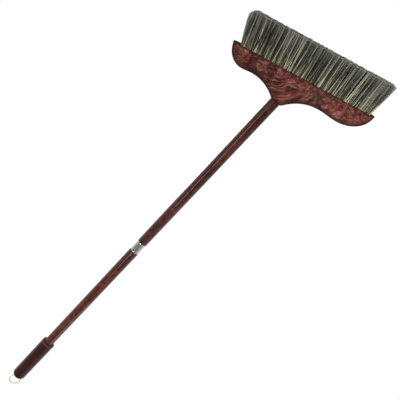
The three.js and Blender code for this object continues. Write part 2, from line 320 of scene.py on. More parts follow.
def block_wood(head):
    """Burled hardwood: bands at the neck, swirls round knots and dark eyes in the wings, painted shade on
    the rounded edges, a painted shadow along the foot, and painted light making the long wing lighter.
    """
    nodes = Shader("block_wood")
    here = nodes.place()
    spot = nodes.axes(here)
    height = spot["Z"]
    turned = nodes.turned(here, GRAIN_SLOPE)
    knots = nodes.math("SUBTRACT", nodes.noise(here, 34, 1.5), 0.5)
    turns = nodes.levels(height, *SWIRL_FADE, KNOT_TURNS, 0.2 * KNOT_TURNS)
    swirl = nodes.combine(0, 0, nodes.math("MULTIPLY", knots, turns))
    grain = nodes.vector("DIVIDE", turned, GRAIN_CELL)
    streaks = nodes.noise(nodes.vector("ADD", grain, swirl), 1, 2)
    marble = nodes.noise(here, 90, 5, 0.72, 1.0)
    flow = nodes.levels(height, *FLOW_RISE, 0.32, 0.85)
    mixed = nodes.out("ShaderNodeMix", {0: flow, 2: marble, 3: streaks}, data_type="FLOAT")
    calm = nodes.levels(height, *NECK_CALM, 1, 0.62)
    lift = nodes.levels(height, *NECK_CALM, 0.5, 0.517)
    figured = nodes.math("MULTIPLY_ADD", nodes.math("SUBTRACT", mixed, 0.5), calm, lift)
    # Painted light: the tone rises towards the long wing at -X
    tone = nodes.math("ADD", figured, nodes.levels(spot["X"], *HEAD_LIGHT_RUN, 0.025, -0.015))
    figure = nodes.ramp(
        tone,
        (0.37, head.vein),
        (0.45, head.wood, 0.5),
        (0.50, head.wood),
        (0.55, head.wood, 1.5),
        (0.63, head.glow),
    )
    hue = nodes.levels(nodes.noise(here, 60, 3, 0.6, 1), 0.35, 0.65, 0.479, 0.516)
    wood = nodes.out("ShaderNodeHueSaturation", {"Color": figure, "Hue": hue})
    eyed = nodes.blend(nodes.levels(knots, 0.12, 0.19, 0, 0.72), wood, EYE_GREY)
    # Painted shade on the rounded upper edges (rim), blended with the foot's painted shadow towards a
    # darker vein colour
    rim = nodes.levels(nodes.attribute("rim"), 0.05, 0.6, 0, 0.9)
    # Painted shadow along the foot, where the bristles meet the block
    foot = nodes.levels(height, BLOCK_FOOT, BLOCK_FOOT + FOOT_SHADE, 0.75, 0)
    shaded_edges = nodes.blend(nodes.math("MAXIMUM", rim, foot), eyed, rgba(head.vein, 1.3))
    fibre = nodes.vector("MULTIPLY", turned, PORE_SCALE)
    pores = nodes.levels(nodes.noise(fibre, 1, 2, 0.6), 0.34, 0.48)
    sawn = nodes.levels(height, *(BLOCK_FOOT + above for above in SAWN_FADE), 1, 0)
    return nodes.finish(
        Base_Color=nodes.blend(nodes.levels(pores, 0, 1, 0.45, 0), shaded_edges, rgba(head.vein)),
        Roughness=nodes.math("MAXIMUM", nodes.levels(pores, 0, 1, 0.5, 0.34), sawn),
        Specular_IOR_Level=0.12,
        Normal=nodes.bump(pores, 0.25, 0.15 * MM),
    )


# Wood of the poles
# Towards the grip the poles turn warmer and brighter: partly the wood's own tone, partly painted light for
# the upper pole's highlight
WARM_LIT_RUN = (0.65, 1.0)
WARM_LIT_CAST = (1.9, 1.5, 1.15, 1)


def pole_wood(handle):
    """Dark lacquered wood, mottled, with long streaks along the handle, warmer and brighter towards the
    grip: partly the wood's own tone, partly painted light.
    """
    nodes = Shader("pole_wood")
    upright = nodes.upright()
    streaks = nodes.noise(nodes.drawn(upright, 0.035), 330, 4, 0.6, 0.4)
    bands = nodes.noise(nodes.drawn(upright, 0.12), 60, 3, 0.55)
    fleck = nodes.noise(nodes.drawn(upright, 0.06), 1500, 2)
    mottle = nodes.noise(nodes.drawn(upright, 0.4), 240, 3, 0.6)
    mottled = nodes.math("MULTIPLY_ADD", mottle, 0.6, -0.175)
    streaked = nodes.math("MULTIPLY_ADD", streaks, 0.5, mottled)
    wood = nodes.ramp(
        nodes.math("MULTIPLY_ADD", bands, 0.3, streaked),
        (0.38, handle.streak),
        (0.49, handle.pole, 0.7),
        (0.57, handle.pole),
        (0.72, handle.pole, 2.4),
    )
    # Warmer and brighter towards the grip, partly painted light
    warmth_and_light = nodes.levels(nodes.axes(upright)["Z"], *WARM_LIT_RUN, 0, 0.6)
    warm = nodes.blend(warmth_and_light, wood, WARM_LIT_CAST, "MULTIPLY")
    pores = nodes.levels(fleck, 0.32, 0.44)
    return nodes.finish(
        Base_Color=nodes.blend(nodes.levels(pores, 0, 1, 0.5, 0), warm, rgba(handle.streak, 0.7)),
        Roughness=nodes.levels(streaks, 0.3, 0.7, 0.22, 0.17),
        Specular_IOR_Level=0.35,
        Normal=nodes.bump(pores, 0.05, 0.1 * MM),
    )


# Fibre of the bristles
# Painted light along the bristles: lighter towards the -X end
FIBRE_LIGHT_RUN = (-140 * MM, 30 * MM)
ROOT_CAST = (1.42, 1.37, 1.06, 1)
TIP_GREY = (0.34, 0.34, 0.31, 1)
# Painted light on the tips' cut ends, which the lamps above the floor barely reach
CUT_END_LIGHT = (0.8, 0.8, 0.76, 1)
DRIFT_CASTS = ((0.38, (1.01, 0.99, 0.98)), (0.62, (0.99, 1.01, 0.96)))
SPECK_CASTS = ((0.3, (0.72, 0.72, 0.72)), (0.7, (1, 1, 1)))


def bristle_fibre(bristles):
    """Stiff plant fibre: each strand has its own tone, yellower at the root and greyer at the tip, with
    painted light towards the -X end and on the cut ends.
    """
    nodes = Shader("bristle_fibre")
    tone = nodes.attribute("tone")
    reach = nodes.attribute("reach")
    here = nodes.place()
    side = nodes.axes(here)["X"]
    # The tone gets painted light towards the -X end
    fibre = nodes.ramp(
        nodes.math("ADD", tone, nodes.levels(side, *FIBRE_LIGHT_RUN, 0.1, 0.05)),
        (0.18, bristles.dark),
        (0.34, bristles.fibre, 0.46),
        (0.50, bristles.fibre),
        (0.68, bristles.fibre, 1.8),
        (0.88, bristles.pale),
    )
    warm = nodes.blend(nodes.levels(reach, 0, 0.55, 0.7, 0), fibre, ROOT_CAST, "MULTIPLY")
    grey = nodes.blend(nodes.levels(reach, 0.72, 1, 0, 0.42), warm, TIP_GREY)
    # Painted light on the cut ends of the tips
    trimmed = nodes.blend(nodes.levels(reach, 0.98, 1, 0, 0.7), grey, CUT_END_LIGHT)
    drift = nodes.ramp(nodes.noise(here, 55, 2), *DRIFT_CASTS)
    speck = nodes.ramp(nodes.noise(nodes.drawn(here, 0.15), 900, 2), *SPECK_CASTS)
    drifted = nodes.blend(1.0, trimmed, drift, "MULTIPLY")
    specked = nodes.blend(1.0, drifted, speck, "MULTIPLY")
    return nodes.finish(
        # Painted light: brighter towards the -X end
        Base_Color=nodes.vector("MULTIPLY", specked, nodes.levels(side, *FIBRE_LIGHT_RUN, 1.2, 1)),
        Roughness=nodes.levels(tone, 0, 1, 0.5, 0.7),
        Specular_IOR_Level=0.25,
    )


# Metal, plastic and rubber
SCREW_ZINC = (0.55, 0.56, 0.57)
STUD_ZINC = (0.5, 0.51, 0.52)
FERRULE_NICKEL = (0.66, 0.65, 0.645)
# Painted light on the grip's mouth, its end face and rim
GRIP_MOUTH_LIGHT = (0.17, 0.09, 0.075, 1)
MOUTH_LIGHT_FADE = (0.8 * MM, 2.4 * MM)
RUBBER_BLOOM = ((0.35, (0.006, 0.006, 0.006)), (0.75, (0.02, 0.02, 0.02)))


def metal(name, colour, roughness, brushed, drawn=1, shade=0.82):
    """Bare metal with fine marks and darker bands, which a small share draws out along the handle; strong
    drawn-out bands, as on the ferrule, are painted reflections as well as marks.
    """
    nodes = Shader(name)
    drawn_out = nodes.drawn(nodes.upright(), drawn)
    marks = nodes.noise(drawn_out, 1200, 3, 0.6)
    # Bands of darker and lighter metal; on the ferrule they are painted reflections as well as marks
    bands_and_reflections = nodes.noise(drawn_out, 140, 3, 0.6)
    return nodes.finish(
        Base_Color=nodes.ramp(bands_and_reflections, (0.36, colour, shade), (0.5, colour), (0.64, colour, 2 - shade)),
        Metallic=1.0,
        Roughness=nodes.levels(marks, 0.3, 0.7, roughness, roughness + brushed),
        Normal=nodes.bump(marks, 0.08, 0.05 * MM),
    )


def grip_plastic(handle):
    """Dark satin plastic, moulded with a fine grain along the grip, with painted light making it pale at
    its mouth.
    """
    nodes = Shader("grip_plastic")
    upright = nodes.upright()
    grain = nodes.noise(nodes.drawn(upright, 0.25), 1100, 3, 0.6)
    cloud = nodes.noise(nodes.drawn(upright, 0.3), 70, 3, 0.6)
    body = nodes.ramp(cloud, (0.3, handle.grip, 0.65), (0.55, handle.grip), (0.75, handle.grip, 1.7))
    height = nodes.axes(upright)["Z"]
    # Painted light on the mouth's end face and rim
    mouth_light = nodes.levels(height, *(GRIP.start + above for above in MOUTH_LIGHT_FADE), 0.75, 0)
    return nodes.finish(
        Base_Color=nodes.blend(mouth_light, body, GRIP_MOUTH_LIGHT),
        Roughness=nodes.levels(grain, 0.3, 0.7, 0.34, 0.42),
        Specular_IOR_Level=0.16,
        Normal=nodes.bump(grain, 0.2, 0.12 * MM),
    )


def washer_rubber():
    """Black rubber with a dusty bloom."""
    nodes = Shader("washer_rubber")
    bloom = nodes.noise(nodes.place(), 600, 4, 0.65)
    return nodes.finish(
        Base_Color=nodes.ramp(bloom, *RUBBER_BLOOM),
        Roughness=0.75,
        Normal=nodes.bump(bloom, 0.2, 0.1 * MM),
    )


# Objects and shapes


def linked(name, data):
    """A new object in the scene."""
    item = bpy.data.objects.new(name, data)
    bpy.context.scene.collection.objects.link(item)
    return item


def as_mesh(name, shape):
    """A new mesh of a shape, which is used up."""
    mesh = bpy.data.meshes.new(name)
    shape.to_mesh(mesh)
    shape.free()
    return mesh


def eased(profile, ease):
    """A profile of [radius, height] pairs with its inner corners rounded by up to a given cut."""
    points = [Vector(point) for point in profile]
    out = [points[0]]
    for before, corner, after in zip(points, points[1:], points[2:]):
        cut_in = min(ease, (before - corner).length / 2)
        cut_out = min(ease, (after - corner).length / 2)
        start = corner + (before - corner).normalized() * cut_in
        end = corner + (after - corner).normalized() * cut_out
        for step in range(EASE_STEPS + 1):
            t = step / EASE_STEPS
            out.append(start.lerp(corner, t).lerp(corner.lerp(end, t), t))
    out.append(points[-1])
    return out


def circle(radius, height, sides):
    """Points round Z, or one point on it where there is no radius."""
    if radius < TINY:
        return [(0, 0, height)]
    turns = [2 * pi * side / sides for side in range(sides)]
    return [(radius * cos(turn), radius * sin(turn), height) for turn in turns]


def skin(rows, ring=False):
    """A shape through rows of points round Z, closed into a ring if asked, and its loops of vertices."""
    shape = bmesh.new()
    loops = [[shape.verts.new(point) for point in row] for row in rows]
    pairs = list(zip(loops, loops[1:]))
    if ring:
        pairs.append((loops[-1], loops[0]))
    for low, high in pairs:
        sides = max(len(low), len(high))
        for side in range(sides):
            following = (side + 1) % sides
            corners = [low[side % len(low)], low[following % len(low)]]
            corners += [high[following % len(high)], high[side % len(high)]]
            shape.faces.new(dict.fromkeys(corners))
    return shape, loops


def lathe(profile, sides=TURNED_SIDES):
    """A turned shape about Z from a profile that runs up its outside, or round and back to its start."""
    ring = (Vector(profile[0]) - Vector(profile[-1])).length < TINY
    rows = [circle(radius, height, sides) for radius, height in (profile[:-1] if ring else profile)]
    return skin(rows, ring)[0]


def cut(shape, tool):
    """A shape less a tool."""
    whole = linked("cut_shape", as_mesh("cut_shape", shape))
    modifier = whole.modifiers.new("cut", "BOOLEAN")
    modifier.object = linked("cut_tool", as_mesh("cut_tool", tool))
    modifier.operation = "DIFFERENCE"
    modifier.solver = "EXACT"
    result = bmesh.new()
    result.from_object(whole, bpy.context.evaluated_depsgraph_get())
    for mesh in (modifier.object.data, whole.data):
        bpy.data.meshes.remove(mesh)
    if not result.faces:
        raise RuntimeError("a cut left nothing of its shape")
    return result


def place(name, shape, material, body, slot, *nodes, lean=True, crease=35):
    """Makes a piece of a shape, leaned with the handle if asked, and hangs it on its body."""
    if lean:
        shape.transform(LEAN)
    mesh = as_mesh(name, shape)
    mesh.shade_smooth()
    mesh.set_sharp_from_angle(angle=radians(crease))
    mesh.materials.append(material)
    hang(linked(name, mesh), body, slot, *nodes)


def hang(piece, body, slot, *nodes):
    """Hangs a piece on its body, in place of its CAD nodes."""
    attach(piece, body)
    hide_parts(*nodes)


def bezier(points, steps):
    """Points along a cubic curve, from its start to just before its end."""
    a, b, c, d = (Vector(point) for point in points)
    for step in range(steps):
        t = step / steps
        s = 1 - t
        yield a * s**3 + b * (3 * s * s * t) + c * (3 * s * t * t) + d * t**3


# Head block


def wing_sizes(side, **millimetres):
    return SimpleNamespace(side=side, **{name: size * MM for name, size in millimetres.items()})


BLOCK_FOOT = 71.5 * MM
LONG_WING = wing_sizes(
    -1, reach=154.2, crest_in=61.2, crest=43, waist_out=64, waist=39.2, shoulder=3.8, drop=3.4
)
SHORT_WING = wing_sizes(
    1, reach=167, crest_in=41, crest=39.8, waist_out=58, waist=38.5, shoulder=0.6, drop=0
)
TIP_PULL = Vector((0.12, 0.64))
CREST_PULL = 0.47
WAIST_PULL = 0.42
CORNER_PULL = Vector((0.24, 0.55))
EDGE_STEPS = 18
SEAT_STEPS = 8
ROUND_STEPS = 6
ROUND_SHARE = 0.9
FACE_STEPS = 8
FOOT_BEVEL = 0.6 * MM
LEAST_HALF = 0.4 * MM
LEAST_TOP = 0.05 * MM
WELD = 0.01 * MM

# How much painted shade the rounded edges get: it fades down the face, and on the top towards the middle
RIM_WIDTH = 10 * MM
FACE_RIM = 0.45
TOP_SHARE = 0.8
TOP_RIM = 0.2


def on_seat(across, below=0):
    """A point on or below the pole's seat, in the plane of the head."""
    point = LEAN @ Vector((across, 0, SEAT - below))
    return Vector((point.x, point.z))


def wing_edge(wing):
    """Upper edge of a wing from its tip to the neck, in the plane of the head."""
    side = wing.side
    corner = on_seat(side * (LOWER.radius + wing.shoulder), wing.drop)
    tip = Vector((side * wing.reach, BLOCK_FOOT))
    crest = tip + Vector((-side * wing.crest_in, wing.crest))
    waist = Vector((corner.x + side * wing.waist_out, BLOCK_FOOT + wing.waist))
    rise = crest - tip
    climb = corner - waist
    dip = WAIST_PULL * (waist.x - crest.x)
    curves = [
        (tip, tip + rise * TIP_PULL, Vector((crest.x - CREST_PULL * rise.x, crest.y)), crest),
        (crest, Vector((crest.x + dip, crest.y)), Vector((waist.x - dip, waist.y)), waist),
        (waist, Vector((waist.x + WAIST_PULL * climb.x, waist.y)), corner - climb * CORNER_PULL, corner),
    ]
    return [point for curve in curves for point in bezier(curve, EDGE_STEPS)] + [corner]


def block_outline():
    """Upper edge of the block from the long wing's tip over the seat to the short wing's."""
    long_edge = wing_edge(LONG_WING)
    short_edge = wing_edge(SHORT_WING)[::-1]
    seat_edge = on_seat(LONG_WING.side * (LOWER.radius + GAP))
    seat = [seat_edge.lerp(short_edge[0], step / SEAT_STEPS) for step in range(SEAT_STEPS)]
    return long_edge + seat + short_edge


def inward(outline):
    """At each point of the outline, how far to step inwards for a parallel line 1 away."""
    normals = []
    for start, end in zip(outline, outline[1:]):
        along = (end - start).normalized()
        normals.append(Vector((along.y, -along.x)))
    steps = [normals[0]]
    for before, after in zip(normals, normals[1:]):
        steps.append((before + after) / (1 + before.dot(after)))
    return steps + [normals[-1]]


def half_depth(x, depth):
    """Half of the block's depth, which runs out in a half round at each end."""
    half = depth / 2
    past = max(x - (SHORT_WING.reach - half), -x - (LONG_WING.reach - half), 0)
    return max(sqrt(max(half * half - past * past, 0)), LEAST_HALF)


def block_section(edge, step, head):
    """One slice of the block: up its front, over the top and down its back, with how much painted rim
    shade each point gets.
    """
    half = half_depth(edge.x, head.depth)
    bound = min(head.round, ROUND_SHARE * half, ROUND_SHARE * (edge.y - BLOCK_FOOT) + WELD)
    shoulder = edge + step * bound
    shoulder.y = max(shoulder.y, BLOCK_FOOT + FOOT_BEVEL)
    half = half_depth(shoulder.x, head.depth)
    side = [(shoulder.x, half - FOOT_BEVEL, BLOCK_FOOT, 0)]
    for i in range(FACE_STEPS + 1):
        z = BLOCK_FOOT + FOOT_BEVEL + (shoulder.y - BLOCK_FOOT - FOOT_BEVEL) * i / FACE_STEPS
        side.append((shoulder.x, half, z, FACE_RIM * max(1 - (shoulder.y - z) / RIM_WIDTH, 0)))
    for i in range(1, ROUND_STEPS + 1):
        angle = i / ROUND_STEPS * pi / 2
        point = shoulder.lerp(edge, sin(angle))
        across = max(half_depth(point.x, head.depth) - bound * (1 - cos(angle)), LEAST_TOP)
        side.append((point.x, across, point.y, FACE_RIM + (1 - FACE_RIM) * sin(angle)))
    side.append((edge.x, TOP_SHARE * across, edge.y, TOP_RIM))
    front = [(x, -y, z, rim) for x, y, z, rim in side]
    middle = (edge.x, 0, edge.y, 0)
    foot = (shoulder.x, 0, BLOCK_FOOT, 0)
    return [*front, middle, *side[::-1], foot]


def block_shape(head):
    """The block as a skin over its slices, each point with how much painted rim shade it gets."""
    shape = bmesh.new()
    rim_shade_layer = shape.verts.layers.float.new("rim")
    outline = block_outline()
    slices = []
    for edge, step in zip(outline, inward(outline)):
        loop = []
        for *point, rim in block_section(edge, step, head):
            vertex = shape.verts.new(point)
            vertex[rim_shade_layer] = rim
            loop.append(vertex)
        slices.append(loop)
    for left, right in zip(slices, slices[1:]):
        for i in range(len(left)):
            j = (i + 1) % len(left)
            shape.faces.new((left[i], left[j], right[j], right[i]))
    for loop in (slices[0], slices[-1]):
        shape.faces.new(loop)
    bmesh.ops.remove_doubles(shape, verts=shape.verts, dist=WELD)
    bmesh.ops.recalc_face_normals(shape, faces=shape.faces)
    return shape


class BROOM_OT_head_block(Operator):
    """Carve the wooden block that holds the bristles"""

    bl_idname = "broom.head_block"
    bl_label = "Head Block"

    def execute(self, context):
        head = context.scene.broom_head
        place("block", block_shape(head), block_wood(head), HEAD, "block_wood", "head_block", lean=False)
        return {"FINISHED"}


# Bristles
TUFT_INPUTS = {
    "Int": ("Strands", "Seed"),
    "Float": ("Thickness", "Row Pitch", "Tip Row Pitch", "Locks"),
    "Vector": ("Root", "Tip", "Root Spread", "Tip Spread"),
}
SEED_STEP = 100
TUFT_ROWS = 3
ROOT_ENDS = (-137.8 * MM, 145 * MM)
TIP_ENDS = (-153.5 * MM, 157 * MM)
ROOT_SPREAD = (5.2 * MM, 4.6 * MM, 0)
END_SPREAD = (3.4 * MM, 4.4 * MM, 0)
ROW_PITCH = 8.6 * MM
TIP_ROW_PITCH = 14.67 * MM
TIP_SPREAD = (6.2 * MM, 8.4 * MM, 0)
END_START = 150 * MM
END_RUN = 10 * MM
END_LIFT = 6 * MM
ROOT_DEPTH = 3 * MM
STRAND_POINTS = 5
STRAND_SIDES = 4
STRAND_DRAFT = 10 * MM
STRAND_TRIM = 1.2 * MM
STRAND_TAPER = 0.3
STRAY = (0.6 * MM, 0.6 * MM, 0)
TIP_STRAY = (2.4 * MM, 1 * MM, 0)

# Locks of strands that gather, lean and share a tone, and the few strands that stand out
LOCKS = 520
LOCK_DEPTH = 3
LOCK_TONE = 0.42
LOCK_TRIM = 2.4 * MM
LOCK_BOW = (2.4 * MM, 2.4 * MM, 0)
LOCK_LEAN = (9 * MM, 2 * MM, 0)
GATHER = 0.6
OWN_TONE = 0.3
BOLD_FEW = 3
BOLD_TONE = 0.75
BOLD_GIRTH = 0.8
PLAIN_GIRTH = 0.7


def tuft_tree(material):
    """A rank of tufts, front to back: strands from a tight root out to a wide trimmed tip."""
    tree = bpy.data.node_groups.new("tuft_rank", "GeometryNodeTree")
    for kind, names in TUFT_INPUTS.items():
        for name in names:
            tree.interface.new_socket(name, in_out="INPUT", socket_type="NodeSocket" + kind)
    tree.interface.new_socket("Geometry", in_out="OUTPUT", socket_type="NodeSocketGeometry")
    nodes = Nodes(tree)
    given = nodes.add("NodeGroupInput").outputs
    count = nodes.math("MULTIPLY", given["Strands"], TUFT_ROWS)
    points = nodes.out("GeometryNodePoints", {"Count": count})
    who = nodes.out("GeometryNodeInputIndex")

    def seed(step):
        return nodes.math("ADD", given["Seed"], step)

    def store(geometry, name, value, kind="FLOAT"):
        inputs = {"Geometry": geometry, "Name": name, "Value": value}
        return nodes.out("GeometryNodeStoreNamedAttribute", inputs, data_type=kind, domain="POINT")

    def stored(name, kind="FLOAT_VECTOR"):
        return nodes.out("GeometryNodeInputNamedAttribute", {"Name": name}, data_type=kind)

    row = nodes.math("MODULO", who, TUFT_ROWS)
    aside = nodes.math("SUBTRACT", row, (TUFT_ROWS - 1) / 2)
    within = nodes.scatter((1, 1, 0), who, seed(1))

    def spread(end, row_pitch, reach):
        in_row = nodes.combine(0, nodes.math("MULTIPLY", aside, given[row_pitch]), 0)
        return nodes.vector("MULTIPLY_ADD", within, given[reach], nodes.vector("ADD", given[end], in_row))

    root = spread("Root", "Row Pitch", "Root Spread")
    even = spread("Tip", "Tip Row Pitch", "Tip Spread")

    flat = nodes.vector("MULTIPLY", even, (1, 1 / LOCK_DEPTH, 1))
    cells = {"Vector": flat, "Scale": given["Locks"]}
    lock = nodes.add("ShaderNodeTexVoronoi", cells, voronoi_dimensions="2D").outputs
    heart = nodes.vector("MULTIPLY", lock["Position"], (1, LOCK_DEPTH, 1))
    stray = nodes.vector("MULTIPLY", nodes.scatter((1, 1, 0), who, seed(2)), TIP_STRAY)
    lean = nodes.axes(lock["Color"])
    bend = nodes.combine(*(nodes.math("SUBTRACT", lean[axis], 0.5) for axis in "YZ"), 0)
    gathered = nodes.vector("ADD", nodes.mix(GATHER, even, heart), stray)
    drawn = nodes.vector("MULTIPLY_ADD", bend, LOCK_LEAN, gathered)

    beyond = nodes.math("SUBTRACT", nodes.axes(drawn)["X"], END_START)
    past = nodes.math("MAXIMUM", nodes.math("DIVIDE", beyond, END_RUN), 0.0)
    rounded = nodes.math("MULTIPLY", nodes.math("MULTIPLY", past, past), END_LIFT)
    uneven = nodes.math("POWER", nodes.random(0.0, 1.0, who, seed(3)), 2.0)
    locked = nodes.math("MULTIPLY", lean["Z"], LOCK_TRIM)
    ragged = nodes.math("MULTIPLY_ADD", uneven, STRAND_TRIM, locked)
    tip = nodes.vector("ADD", drawn, nodes.combine(0, 0, nodes.math("ADD", ragged, rounded)))
    bow = nodes.vector("MULTIPLY_ADD", bend, LOCK_BOW, nodes.scatter(STRAY, who, seed(4)))
    own = nodes.math("MULTIPLY", nodes.random(0.0, 1.0, who, seed(5)), OWN_TONE)
    bold = nodes.math("POWER", nodes.random(-1.0, 1.0, who, seed(6)), BOLD_FEW)
    mixed = nodes.math("MULTIPLY_ADD", lean["X"], LOCK_TONE, own)
    tone = nodes.math("MULTIPLY_ADD", bold, BOLD_TONE, mixed)
    girth = nodes.math("MULTIPLY_ADD", nodes.math("ABSOLUTE", bold), BOLD_GIRTH, PLAIN_GIRTH)

    for name, value in (("root", root), ("tip", tip), ("bow", bow)):
        points = store(points, name, value, "FLOAT_VECTOR")
    points = store(store(points, "tone", tone), "girth", girth)

    line = nodes.out("GeometryNodeCurvePrimitiveLine", {"End": (0, 0, STRAND_DRAFT)})
    strand = nodes.out("GeometryNodeResampleCurve", {"Curve": line, "Count": STRAND_POINTS})
    copies = nodes.out("GeometryNodeInstanceOnPoints", {"Points": points, "Instance": strand})
    strands = nodes.out("GeometryNodeRealizeInstances", {"Geometry": copies})
    reach = nodes.out("GeometryNodeSplineParameter", output="Factor")
    straight = nodes.mix(reach, stored("root"), stored("tip"))
    swell = nodes.math("SINE", nodes.math("MULTIPLY", reach, pi))
    path = nodes.vector("MULTIPLY_ADD", stored("bow"), swell, straight)
    placed = nodes.out("GeometryNodeSetPosition", {"Geometry": strands, "Position": path})
    marked = store(placed, "reach", reach)
    thickness = nodes.math("MULTIPLY", stored("girth", "FLOAT"), given["Thickness"])
    narrowed = nodes.math("MULTIPLY_ADD", reach, -STRAND_TAPER, 1.0)
    taper = nodes.math("MULTIPLY", narrowed, thickness)
    section = nodes.out("GeometryNodeCurvePrimitiveCircle", {"Resolution": STRAND_SIDES, "Radius": 0.5})
    inputs = {"Curve": marked, "Profile Curve": section, "Scale": taper, "Fill Caps": True}
    mesh = nodes.out("GeometryNodeCurveToMesh", inputs)
    for name in ("root", "tip", "bow", "girth"):
        mesh = nodes.out("GeometryNodeRemoveAttribute", {"Geometry": mesh, "Name": name})
    smooth = nodes.out("GeometryNodeSetShadeSmooth", {"Geometry": mesh})
    whole = nodes.out("GeometryNodeRealizeInstances", {"Geometry": smooth})
    dressed = nodes.out("GeometryNodeSetMaterial", {"Geometry": whole, "Material": material})
    nodes.add("NodeGroupOutput", {"Geometry": dressed})
    return tree


def grown(name, tree, settings):
    """The plain mesh that a tree makes with these inputs, as an object."""
    seedbed = linked(name + "_seed", bpy.data.meshes.new(name + "_seed"))
    modifier = seedbed.modifiers.new("grow", "NODES")
    modifier.node_group = tree
    sockets = {item.name: item.identifier for item in tree.interface.items_tree if item.in_out == "INPUT"}
    for key, value in settings.items():
        modifier[sockets[key]] = value
    depsgraph = bpy.context.evaluated_depsgraph_get()
    mesh = bpy.data.meshes.new_from_object(seedbed.evaluated_get(depsgraph), depsgraph=depsgraph)
    mesh.name = name
    bpy.data.meshes.remove(seedbed.data)
    if not mesh.vertices:
        raise RuntimeError(name + " grew no bristles")
    return linked(name, mesh)


class BROOM_OT_bristles(Operator):
    """Grow the tufts, one rank from front to back at a time"""

    bl_idname = "broom.bristles"
    bl_label = "Bristles"

    def execute(self, context):
        bristles = context.scene.broom_bristles
        tree = tuft_tree(bristle_fibre(bristles))
        for number, node in enumerate(RANKS):
            share = number / (len(RANKS) - 1)
            root_x = ROOT_ENDS[0] + share * (ROOT_ENDS[1] - ROOT_ENDS[0])
            tip_x = TIP_ENDS[0] + (number + 0.5) / len(RANKS) * (TIP_ENDS[1] - TIP_ENDS[0])
            settings = {
                "Strands": bristles.strands,
                "Thickness": bristles.thickness,
                "Root": (root_x, 0, bristles.length + ROOT_DEPTH),
                "Tip": (tip_x, 0, 0),
                "Row Pitch": ROW_PITCH,
                "Tip Row Pitch": TIP_ROW_PITCH,
                "Root Spread": END_SPREAD if share in (0, 1) else ROOT_SPREAD,
                "Tip Spread": TIP_SPREAD,
                "Locks": LOCKS,
                "Seed": SEED_STEP * number,
            }
            piece = grown(node.replace("tuft_rank", "bristles"), tree, settings)
            hang(piece, HEAD, "bristle", node)
        return {"FINISHED"}


# Screw in the neck, in millimetres: radii and heights from the block's back, and a recess that narrows
SCREW_BELOW = 18 * MM
SCREW_SIDES = 40
SCREW_SHANK = ((0, -26), (0.6, -25.4), (1.9, -22), (2, -2.4))
SCREW_HEAD = ((3.9, -0.3), (3.9, 0.2), (3.3, 0.7), (2.2, 1.1), (0, 1.3))
RECESS_MOUTH = (4.4, 1.0, 2)
RECESS_FOOT = (2.6, 0.7, -0.8)


class BROOM_OT_neck_screw(Operator):
    """Drive the screw that locks the pole in the block"""

    bl_idname = "broom.neck_screw"
    bl_label = "Neck Screw"

    def execute(self, context):
        back = context.scene.broom_head.depth / 2
        profile = [(radius * MM, back + z * MM) for radius, z in SCREW_SHANK + SCREW_HEAD]
        screw = lathe(profile, SCREW_SIDES)
        for turn in (0, pi / 2):
            recess = bmesh.new()
            for vertex in bmesh.ops.create_cube(recess, size=1)["verts"]:
                wide, thin, z = RECESS_FOOT if vertex.co.z < 0 else RECESS_MOUTH
                vertex.co = (vertex.co.x * wide * MM, vertex.co.y * thin * MM, back + z * MM)
            recess.transform(Matrix.Rotation(turn, 4, "Z"))
            screw = cut(screw, recess)
        screw.transform(Matrix.Rotation(-pi / 2, 4, "X"))
        screw.transform(Matrix.Translation((0, 0, SEAT - SCREW_BELOW)))
        zinc = metal("screw_steel", SCREW_ZINC, 0.28, brushed=0.2)
        place("screw", screw, zinc, HEAD, "screw_steel", "neck_screw", crease=30)
        return {"FINISHED"}


# Poles
TENON_STEP = 4 * MM
SPIGOT_INSET = 1.7 * MM
STUD_BORE = 4.8 * MM
POLE_EASE = 0.7 * MM


class BROOM_OT_poles(Operator):
    """Turn the two sections of the pole"""

    bl_idname = "broom.poles"
    bl_label = "Poles"

    def execute(self, context):
        wood = pole_wood(context.scene.broom_handle)
        top = FERRULE.start - GAP
        spigot = FERRULE.radius - SPIGOT_INSET
        lower = [
            (0, LOWER.start),
            (LOWER.radius - TENON_STEP, LOWER.start),
            (LOWER.radius - TENON_STEP, SEAT + GAP),
            (LOWER.radius, SEAT + GAP),
            (LOWER.radius, top),
            (spigot, top),
            (spigot, LOWER.end),
            (0, LOWER.end),
        ]
        place("pole_lower", lathe(eased(lower, POLE_EASE)), wood, HEAD, "pole_wood", "lower_pole")
        bore_end = STUD.end + GAP
        upper = [
            (0, bore_end),
            (STUD_BORE, bore_end),
            (STUD_BORE, UPPER_POLE.start),
            (UPPER_POLE.radius, UPPER_POLE.start),
            (UPPER_POLE.radius, UPPER_POLE.end),
            (0, UPPER_POLE.end),
        ]
        place("pole_upper", lathe(eased(upper, POLE_EASE)), wood, UPPER, "pole_wood", "upper_pole")
        return {"FINISHED"}


# Screwed joint
BORE = 6.8 * MM
BORE_GROOVE = 0.5 * MM
BORE_PLAIN = 1 * MM
FERRULE_WALL = 1.4 * MM
FERRULE_EASE = 0.4 * MM
BEAD = 0.25 * MM
BEAD_END = 2.2 * MM
BEAD_FOOT = 2.6 * MM
STUD_RADIUS = 6.5 * MM
STUD_TIP = 5 * MM
STUD_TIP_LENGTH = 0.8 * MM
STUD_SIDES = 48
SHANK_RADIUS = 4.5 * MM
SHANK_CHAMFER = 0.6 * MM
THREAD_DEPTH = 0.75 * MM
THREAD_STEPS = 6


